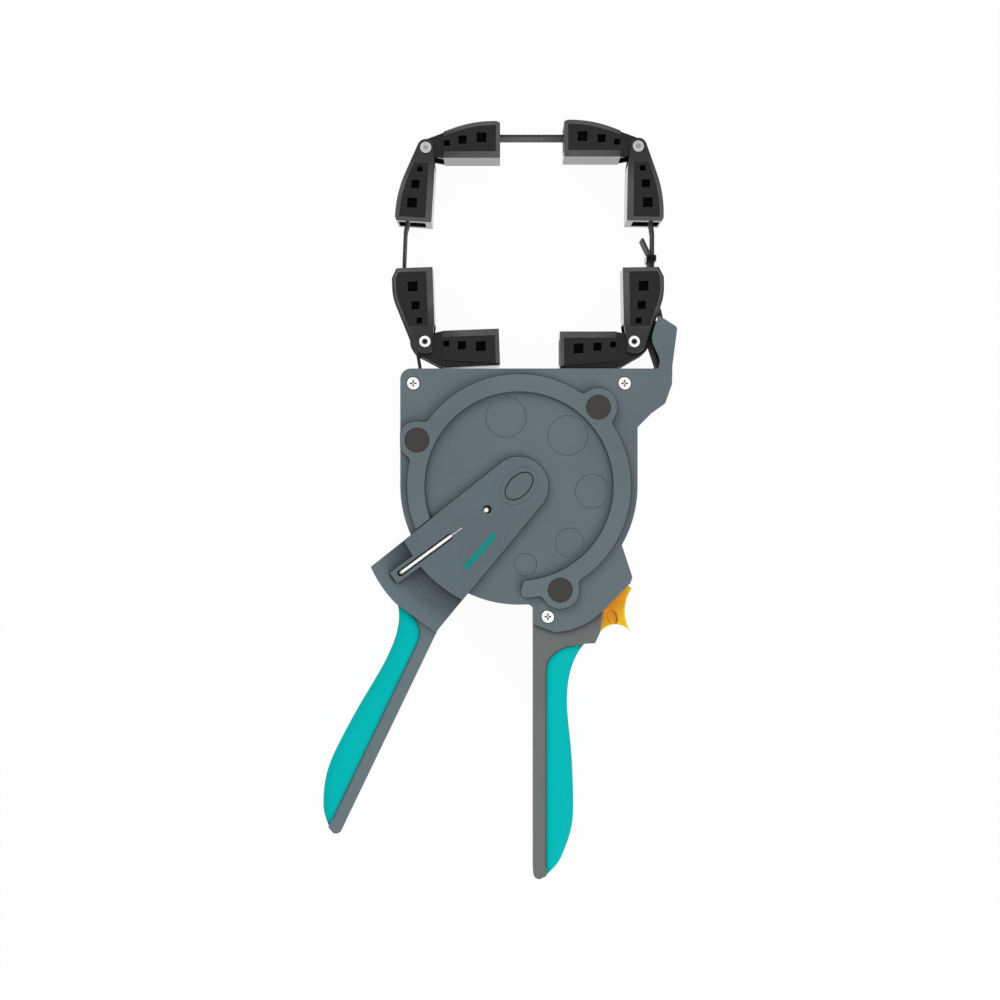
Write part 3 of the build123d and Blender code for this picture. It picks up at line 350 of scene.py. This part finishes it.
def scoop_painted_shade(material, base, colour):
    """The lever: painted shade in its scooped end, darkest at the step, and a paler stem."""
    reach = distance(material, (0.0, 0.0))
    # Painted shade on the sunk scoop, fading away from the step
    sunk = maths(material, "LESS_THAN", level(material), LEVER_TOP - MIDDLE - SCOOP_SUNK)
    beyond = maths(material, "GREATER_THAN", reach, HOUSING_RADIUS + SCOOP_START)
    sunk = maths(material, "MULTIPLY", sunk, beyond)
    step_shade_fade = ramp(material, reach, HOUSING_RADIUS + SCOOP_DARK, HOUSING_RADIUS + SCOOP_END, 1.0, 0.0)
    base = blend_colours(material, maths(material, "MULTIPLY", step_shade_fade, sunk), base, shade(colour, STEP_SHADE_TONE))
    stem = ramp(material, reach, HOUSING_RADIUS + STEM_START, HOUSING_RADIUS + STEM_END, 0.0, 1.0)
    return blend_colours(material, stem, base, shade(colour, STEM_TONE)), None


def jaw_tones(material, base, colour):
    """The jaws: rims that are paler away from the rivets, and painted shade, black, on the window floors."""
    height = level(material)
    front = facing(material)
    worn = ramp(material, noise(material, 60.0, 3.0), 0.3, 0.7, 0.55, 1.0)
    away = distance(material, JAW_PINS[0])
    for pin in JAW_PINS[1:]:
        away = maths(material, "MINIMUM", away, distance(material, pin))
    worn = maths(material, "MULTIPLY", worn, ramp(material, away, 0.006, 0.018, 0.25, 1.0))
    rim = maths(material, "MULTIPLY", within(material, height, JAW_HALF - SURFACE_SLACK, 1.0), front)
    base = blend_colours(material, maths(material, "MULTIPLY", rim, worn), base, shade(colour, RIM_TONE))
    # Painted shade: the window floors made black
    depth = JAW_HALF - WINDOW_DEPTH
    shaded_window_floors = within(material, height, depth - SURFACE_SLACK, depth + SURFACE_SLACK)
    shaded_window_floors = maths(material, "MULTIPLY", shaded_window_floors, front)
    return blend_colours(material, shaded_window_floors, base, shade(colour, WINDOW_SHADE_TONE)), shaded_window_floors


def moulded_plastic(
    name, colour, radius, roughness=0.5, gloss=0.25, edge_highlight=1.5, grain=0.00004, crevice_shade_reach=0.0017, tones=None
):
    """Spark-eroded moulded plastic: fine grain, faint clouding, painted shade in inner corners and a patchy painted
    highlight along the edges.
    """
    material, shader = new_material(name)
    shader.inputs["Specular IOR Level"].default_value = gloss
    cloud = ramp(material, noise(material, 22.0, 3.0), 0.3, 0.7, 0.0, 1.0)
    base = blend_colours(material, cloud, shade(colour, 0.90), shade(colour, 1.06))
    matte = None
    if tones is not None:
        base, matte = tones(material, base, colour)
    fine = noise(material, 1500.0, 2.0)
    speckle = ramp(material, fine, 0.35, 0.75, 0.0, 0.3)
    base = blend_colours(material, speckle, base, shade(colour, 1.35))
    edge_normal, edge = soft_normal(material, radius)
    # Painted highlight: the edges made paler, in patches
    patchy_highlight = ramp(material, noise(material, 240.0, 3.0), 0.35, 0.65, 0.25, 0.8)
    base = blend_colours(material, maths(material, "MULTIPLY", edge, patchy_highlight), base, shade(colour, edge_highlight))
    seam = maths(material, "LESS_THAN", level(material), SEAM_HALF)
    base = blend_colours(material, seam, base, shade(colour, SEAM_TONE))
    # Painted shade in inner corners and narrow gaps
    base = blend_colours(material, painted_crevice_shade(material, crevice_shade_reach), base, shade(colour, 0.22))
    satin = ramp(material, fine, 0.3, 0.7, roughness - 0.06, roughness + 0.08)
    if matte is not None:
        satin = maths(material, "MAXIMUM", satin, matte)
    link(material, base, shader.inputs["Base Color"])
    link(material, satin, shader.inputs["Roughness"])
    link(material, bump(material, fine, grain, 0.6, edge_normal), shader.inputs["Normal"])
    return material


def soft_rubber(name, colour, radius):
    """Soft moulded grip: satin, with a very fine matte grain, painted shade where it turns away at its edges and in
    its inner corners.
    """
    material, shader = new_material(name)
    shader.inputs["Specular IOR Level"].default_value = 0.03
    cloud = ramp(material, noise(material, 14.0, 2.0), 0.3, 0.7, 0.0, 1.0)
    base = blend_colours(material, cloud, shade(colour, 0.93), shade(colour, 1.04))
    edge_normal, edge = soft_normal(material, radius)
    # Painted shade where the rounded grip turns away at its edges
    base = blend_colours(material, ramp(material, edge, 0.0, 1.0, 0.0, 0.5), base, shade(colour, 0.8))
    fine = noise(material, 2600.0, 1.0)
    speckle = ramp(material, fine, 0.35, 0.7, 0.0, 0.3)
    base = blend_colours(material, speckle, base, shade(colour, 0.8))
    # Painted shade in inner corners
    base = blend_colours(material, painted_crevice_shade(material, 0.0012), base, shade(colour, 0.3))
    link(material, base, shader.inputs["Base Color"])
    link(material, ramp(material, fine, 0.3, 0.7, 0.52, 0.64), shader.inputs["Roughness"])
    link(material, bump(material, fine, 0.00003, 0.5, edge_normal), shader.inputs["Normal"])
    return material


def glossy_trigger(name, colour, radius):
    """Clear-looking orange plastic, yellower at its lobes, with a painted yellow highlight along its thin edges and
    painted shade in its inner corners.
    """
    material, shader = new_material(name)
    shader.inputs["Specular IOR Level"].default_value = 0.3
    low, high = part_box("release_trigger")
    reach = distance(material, (low.x, (low.y + high.y) / 2))
    width = high.x - low.x
    lobes = ramp(material, reach, width * 0.6, width * 0.95, 0.0, 1.0)
    cloud = ramp(material, noise(material, 160.0, 2.0), 0.35, 0.65, 0.0, 0.35)
    base = blend_colours(material, cloud, colour, TRIGGER_YELLOW)
    base = blend_colours(material, lobes, base, TRIGGER_YELLOW)
    edge_normal, edge = soft_normal(material, radius)
    # Painted highlight: yellow light through the thin edges
    base = blend_colours(material, ramp(material, edge, 0.0, 1.0, 0.0, 0.6), base, TRIGGER_EDGE_HIGHLIGHT)
    # Painted shade in inner corners
    base = blend_colours(material, painted_crevice_shade(material, 0.0012), base, shade(colour, 0.5))
    fine = noise(material, 1200.0, 2.0)
    link(material, base, shader.inputs["Base Color"])
    link(material, ramp(material, fine, 0.3, 0.7, 0.28, 0.38), shader.inputs["Roughness"])
    link(material, bump(material, fine, 0.00002, 0.4, edge_normal), shader.inputs["Normal"])
    shader.inputs["Subsurface Weight"].default_value = 0.7
    shader.inputs["Subsurface Radius"].default_value = (1.0, 0.5, 0.1)
    shader.inputs["Subsurface Scale"].default_value = 0.006
    return material


def steel(name, colour, radius, roughness=0.3, eyes=(), eye_radius=0.0, eye_shade_tone=0.03):
    """Steel with fine scratches and a little clouding, painted shade in its inner corners, and a darker eye of
    painted shade at each given place.
    """
    material, shader = new_material(name, metallic=1.0)
    cloud = ramp(material, noise(material, 180.0, 3.0), 0.3, 0.7, 0.0, 1.0)
    base = blend_colours(material, cloud, shade(colour, 0.92), shade(colour, 1.06))
    # Painted shade in inner corners and recesses
    base = blend_colours(material, painted_crevice_shade(material, 0.0010), base, shade(colour, 0.02))
    # Painted shade in each hollow eye or dimple
    for eye in eyes:
        inside = ramp(material, distance(material, eye), eye_radius * 0.8, eye_radius * 1.1, 1.0, 0.0)
        inside = maths(material, "MULTIPLY", inside, facing(material))
        base = blend_colours(material, inside, base, shade(colour, eye_shade_tone))
    lines = noise(material, 300.0, 4.0, (1.0, 8.0, 1.0))
    edge_normal, edge = soft_normal(material, radius)
    link(material, base, shader.inputs["Base Color"])
    link(material, ramp(material, lines, 0.3, 0.7, roughness - 0.08, roughness + 0.12), shader.inputs["Roughness"])
    link(material, bump(material, lines, 0.00001, 0.2, edge_normal), shader.inputs["Normal"])
    return material


def bright_wire(name, colour):
    """Plated spring wire with a satin skin and faint drawing lines."""
    material, shader = new_material(name, metallic=0.35)
    lines = noise(material, 500.0, 3.0, (1.0, 6.0, 1.0))
    streaks = ramp(material, lines, 0.35, 0.65, 0.0, 1.0)
    base = blend_colours(material, streaks, shade(colour, 0.94), shade(colour, 1.1))
    # Painted shade in inner corners
    base = blend_colours(material, painted_crevice_shade(material, 0.0006), base, shade(colour, 0.4))
    link(material, base, shader.inputs["Base Color"])
    link(material, ramp(material, lines, 0.3, 0.7, 0.34, 0.46), shader.inputs["Roughness"])
    link(material, bump(material, lines, 0.00001, 0.3), shader.inputs["Normal"])
    return material


def printed_stripe(name, colour):
    """Matte pad-printed paint, a little uneven and worn through at its rim."""
    material, shader = new_material(name, roughness=0.55)
    shader.inputs["Specular IOR Level"].default_value = 0.1
    patch = ramp(material, noise(material, 420.0, 3.0), 0.35, 0.7, 0.0, 1.0)
    base = blend_colours(material, patch, colour, shade(colour, 0.8))
    edge_normal, edge = soft_normal(material, 0.0004)
    base = blend_colours(material, ramp(material, edge, 0.0, 1.0, 0.0, 0.6), base, STRIPE_WORN)
    fine = noise(material, 1500.0, 2.0)
    link(material, base, shader.inputs["Base Color"])
    link(material, bump(material, fine, 0.00003, 0.5, edge_normal), shader.inputs["Normal"])
    return material


def webbing(name, colour):
    """Woven strap: ribs across its width and along its run."""
    material, shader = new_material(name, roughness=0.75)
    place = add_node(material, "ShaderNodeTexCoord")
    ribs = add_node(material, "ShaderNodeTexWave", Scale=260.0, Distortion=0.6, Detail=1.0)
    ribs.bands_direction = "Z"
    picks = add_node(material, "ShaderNodeTexWave", Scale=210.0, Distortion=0.6, Detail=1.0)
    picks.bands_direction = "DIAGONAL"
    link(material, place.outputs["Object"], ribs.inputs["Vector"])
    link(material, place.outputs["Object"], picks.inputs["Vector"])
    weave = maths(material, "MULTIPLY", ribs.outputs["Fac"], picks.outputs["Fac"])
    fuzz = ramp(material, noise(material, 900.0, 3.0), 0.3, 0.7, 0.0, 0.5)
    base = blend_colours(material, weave, shade(colour, 0.6), shade(colour, 1.6))
    base = blend_colours(material, fuzz, base, shade(colour, 2.2))
    link(material, base, shader.inputs["Base Color"])
    link(material, bump(material, weave, 0.00018, 0.8), shader.inputs["Normal"])
    shader.inputs["Sheen Weight"].default_value = 0.2
    return material


def finish_nodes(material, *names):
    """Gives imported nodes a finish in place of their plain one."""
    for name in names:
        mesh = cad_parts[name].data
        mesh.materials.clear()
        mesh.materials.append(material)


def new_piece(name, mesh, body, material, smooth=True):
    """A finished piece from a bmesh, riding on its body."""
    bmesh.ops.recalc_face_normals(mesh, faces=mesh.faces)
    data = bpy.data.meshes.new(name)
    mesh.to_mesh(data)
    mesh.free()
    piece = bpy.data.objects.new(name, data)
    bpy.context.scene.collection.objects.link(piece)
    data.materials.append(material)
    for face in data.polygons:
        face.use_smooth = smooth
    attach(piece, body)
    return piece


class ClampFinishPlastic(bpy.types.Operator):
    """Finish the housing, lever, handle, jaws, plugs and trigger."""

    bl_idname = "clamp.finish_plastic"
    bl_label = "Finish the plastic pieces"

    def execute(self, context):
        look = context.scene.clamp_finish
        radius = look.edge_radius
        housing = moulded_plastic("housing_plastic", look.housing, radius)
        finish_nodes(housing, "front_cover", "back_cover")
        lever = moulded_plastic("lever_plastic", look.lever, radius, tones=scoop_painted_shade)
        finish_nodes(lever, "lever_front_half", "lever_back_half", "front_hub_cap", "back_hub_cap")
        finish_nodes(moulded_plastic("handle_plastic", look.handle, radius, crevice_shade_reach=0.0032), "fixed_handle")
        plug = moulded_plastic("plug_plastic", look.plugs, radius, roughness=0.65, gloss=0.2)
        finish_nodes(plug, "front_plugs", "back_plugs")
        jaw = moulded_plastic(
            "jaw_plastic",
            look.jaws,
            radius,
            roughness=0.1,
            gloss=0.22,
            # strong painted highlight along the jaws' edges
            edge_highlight=5.0,
            grain=0.000003,
            crevice_shade_reach=0.0014,
            tones=jaw_tones,
        )
        arms = [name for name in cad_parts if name.endswith("_arm")]
        finish_nodes(jaw, *arms, "strap_keeper")
        finish_nodes(glossy_trigger("trigger_plastic", look.trigger, radius * 1.2), "release_trigger")
        inner = moulded_plastic("spool_plastic", SPOOL_GREY, radius)
        finish_nodes(inner, "drum_spool", "thrust_washers")
        return {"FINISHED"}


class ClampFinishGrips(bpy.types.Operator):
    """Finish the two soft grips."""

    bl_idname = "clamp.finish_grips"
    bl_label = "Finish the grips"

    def execute(self, context):
        look = context.scene.clamp_finish
        finish_nodes(soft_rubber("grip_rubber", look.grip, look.edge_radius * 8), "lever_grip", "fixed_grip")
        return {"FINISHED"}


class ClampFinishMetal(bpy.types.Operator):
    """Finish the screws, rivets, wire, pins and ratchet."""

    bl_idname = "clamp.finish_metal"
    bl_label = "Finish the metal pieces"

    def execute(self, context):
        look = context.scene.clamp_finish
        radius = look.edge_radius * 0.5
        finish_nodes(steel("bright_steel", look.steel, radius), "cover_screws", "lever_screws")
        # Lower rivets: painted shade in the hollow eye
        for name in ("lower_left_rivet", "lower_right_rivet"):
            eye = box_centre(name)
            rivet = steel(name + "_steel", look.steel, radius, eyes=(eye,), eye_radius=EYE_RADIUS)
            finish_nodes(rivet, name)
        # Upper rivets: painted shade in the dimples
        dimpled = steel(
            "upper_rivet_steel",
            shade(look.steel, 0.5),
            radius,
            roughness=0.4,
            eyes=JAW_PINS[:2],
            eye_radius=DIMPLE_RADIUS,
            eye_shade_tone=DIMPLE_SHADE_TONE,
        )
        finish_nodes(dimpled, "upper_jaw_rivets")
        finish_nodes(bright_wire("spring_wire", look.steel), "drive_pawl_spring")
        dark = steel("dark_steel", DARK_STEEL, radius, roughness=0.4)
        finish_nodes(
            dark,
            "pivot_axle",
            "holding_pawl",
            "holding_pawl_pin",
            "drive_pawl",
            "drive_pawl_pin",
            "front_ratchet_wheel",
            "back_ratchet_wheel",
            "strap_anchor_pin",
            "lever_return_spring",
            "trigger_spring",
        )
        return {"FINISHED"}


class ClampFinishStrap(bpy.types.Operator):
    """Finish the woven strap."""

    bl_idname = "clamp.finish_strap"
    bl_label = "Finish the strap"

    def execute(self, context):
        look = context.scene.clamp_finish
        runs = ("strap_coil", "strap_lead", "strap_left_run", "strap_top_run", "strap_right_run", "strap_anchor_loop")
        finish_nodes(webbing("strap_webbing", look.strap), *runs)
        return {"FINISHED"}


class ClampAddStripe(bpy.types.Operator):
    """Add the plain stripe printed on the lever's front."""

    bl_idname = "clamp.add_stripe"
    bl_label = "Add the lever's stripe"

    def execute(self, context):
        look = context.scene.clamp_finish
        reach = (look.stripe_length - look.stripe_width) / 2
        mesh = bmesh.new()
        bmesh.ops.create_circle(mesh, cap_ends=True, segments=32, radius=look.stripe_width / 2)
        for side in (1, -1):
            half = [v for v in mesh.verts if v.co.x * side > look.stripe_width / 1000]
            bmesh.ops.translate(mesh, verts=half, vec=(side * reach, 0.0, 0.0))
        raised = bmesh.ops.extrude_face_region(mesh, geom=mesh.faces[:])["geom"]
        top = [v for v in raised if isinstance(v, bmesh.types.BMVert)]
        bmesh.ops.translate(mesh, verts=top, vec=(0.0, 0.0, STRIPE_PROUD + STRIPE_SUNK))
        bmesh.ops.rotate(mesh, verts=mesh.verts, matrix=Matrix.Rotation(look.stripe_turn, 3, "Z"))
        bmesh.ops.translate(mesh, verts=mesh.verts, vec=(*STRIPE_PLACE, LEVER_TOP - STRIPE_SUNK))
        paint = printed_stripe("stripe_paint", look.stripe)
        new_piece("lever_stripe", mesh, "lever", paint, smooth=False)
        return {"FINISHED"}


def seen_directly(tree):
    """One for rays from the camera or from a mirroring surface, nothing for all others."""
    rays = tree.nodes.new("ShaderNodeLightPath")
    seen = tree.nodes.new("ShaderNodeMath")
    seen.operation = "MAXIMUM"
    tree.links.new(rays.outputs["Is Camera Ray"], seen.inputs[0])
    tree.links.new(rays.outputs["Is Glossy Ray"], seen.inputs[1])
    return seen.outputs["Value"]


def white_backdrop(name):
    """A floor that looks white and still takes a soft shadow."""
    material = bpy.data.materials.new(name)
    material.use_nodes = True
    tree = material.node_tree
    shader = tree.nodes["Principled BSDF"]
    shader.inputs["Base Color"].default_value = FLOOR_WHITE
    shader.inputs["Roughness"].default_value = 0.9
    shader.inputs["Specular IOR Level"].default_value = 0.1
    share = tree.nodes.new("ShaderNodeMath")
    share.operation = "MULTIPLY"
    share.inputs[1].default_value = FLOOR_GLOW
    tree.links.new(seen_directly(tree), share.inputs[0])
    glow = tree.nodes.new("ShaderNodeEmission")
    glow.inputs["Strength"].default_value = 1.0
    mix = tree.nodes.new("ShaderNodeMixShader")
    tree.links.new(share.outputs[0], mix.inputs["Fac"])
    tree.links.new(shader.outputs["BSDF"], mix.inputs[1])
    tree.links.new(glow.outputs["Emission"], mix.inputs[2])
    tree.links.new(mix.outputs["Shader"], tree.nodes["Material Output"].inputs["Surface"])
    return material


def area_lamp(name, place, target, size, power):
    """A square soft lamp that looks at a point."""
    lamp = bpy.data.lights.new(name, "AREA")
    lamp.shape = "SQUARE"
    lamp.size = size
    lamp.energy = power
    holder = bpy.data.objects.new(name, lamp)
    holder.location = place
    holder.rotation_euler = (Vector(target) - Vector(place)).to_track_quat("-Z", "Y").to_euler()
    bpy.context.scene.collection.objects.link(holder)


class ClampStage(bpy.types.Operator):
    """Set up the camera, floor, lamps and sky."""

    bl_idname = "clamp.stage"
    bl_label = "Set up the studio"

    def execute(self, context):
        studio = context.scene.clamp_studio
        scene = context.scene
        camera_data = bpy.data.cameras.new("camera")
        camera_data.lens = studio.lens
        camera_data.sensor_width = SENSOR_WIDTH
        camera = bpy.data.objects.new("camera", camera_data)
        camera.location = (studio.shift_x, studio.shift_y, cad_box[1].z + studio.distance)
        scene.collection.objects.link(camera)
        scene.camera = camera
        mesh = bmesh.new()
        bmesh.ops.create_grid(mesh, x_segments=1, y_segments=1, size=studio.floor_size / 2)
        data = bpy.data.meshes.new("floor")
        mesh.to_mesh(data)
        mesh.free()
        floor = bpy.data.objects.new("floor", data)
        floor.location.z = -FLOOR_DROP
        data.materials.append(white_backdrop("floor_white"))
        scene.collection.objects.link(floor)
        area_lamp("key_lamp", KEY_PLACE, (0, 0, 0), LAMP_SIZE, studio.key_power)
        area_lamp("fill_lamp", FILL_PLACE, (0, 0, 0), LAMP_SIZE, studio.fill_power)
        world = bpy.data.worlds.new("sky")
        scene.world = world
        world.use_nodes = True
        tree = world.node_tree
        background = tree.nodes["Background"]
        background.inputs["Color"].default_value = (1.0, 1.0, 1.0, 1.0)
        brightness = tree.nodes.new("ShaderNodeMapRange")
        brightness.inputs["To Min"].default_value = studio.sky
        brightness.inputs["To Max"].default_value = 1.0
        tree.links.new(seen_directly(tree), brightness.inputs["Value"])
        tree.links.new(brightness.outputs["Result"], background.inputs["Strength"])
        scene.view_settings.view_transform = "Standard"
        return {"FINISHED"}


class ClampPanel(bpy.types.Panel):
    """Lists the clamp's operators."""

    bl_idname = "VIEW3D_PT_clamp"
    bl_label = "Strap clamp"
    bl_space_type = "VIEW_3D"
    bl_region_type = "UI"
    bl_category = "Strap clamp"

    def draw(self, context):
        for operator in OPERATORS:
            self.layout.operator(operator.bl_idname)


OPERATORS = (
    ClampStage,
    ClampFinishPlastic,
    ClampFinishGrips,
    ClampFinishMetal,
    ClampFinishStrap,
    ClampAddStripe,
)
CLASSES = (ClampFinish, ClampStudio, *OPERATORS, ClampPanel)


def register():
    """Register the settings, operators and panel."""
    for kind in CLASSES:
        bpy.utils.register_class(kind)
    bpy.types.Scene.clamp_finish = bpy.props.PointerProperty(type=ClampFinish)
    bpy.types.Scene.clamp_studio = bpy.props.PointerProperty(type=ClampStudio)


def unregister():
    """Take them out again, in reverse."""
    del bpy.types.Scene.clamp_studio
    del bpy.types.Scene.clamp_finish
    for kind in reversed(CLASSES):
        bpy.utils.unregister_class(kind)


def main():
    """Dress the frame."""
    register()
    bpy.ops.clamp.stage()
    bpy.ops.clamp.finish_plastic()
    bpy.ops.clamp.finish_grips()
    bpy.ops.clamp.finish_metal()
    bpy.ops.clamp.finish_strap()
    bpy.ops.clamp.add_stripe()


if __name__ == "__main__":
    main()
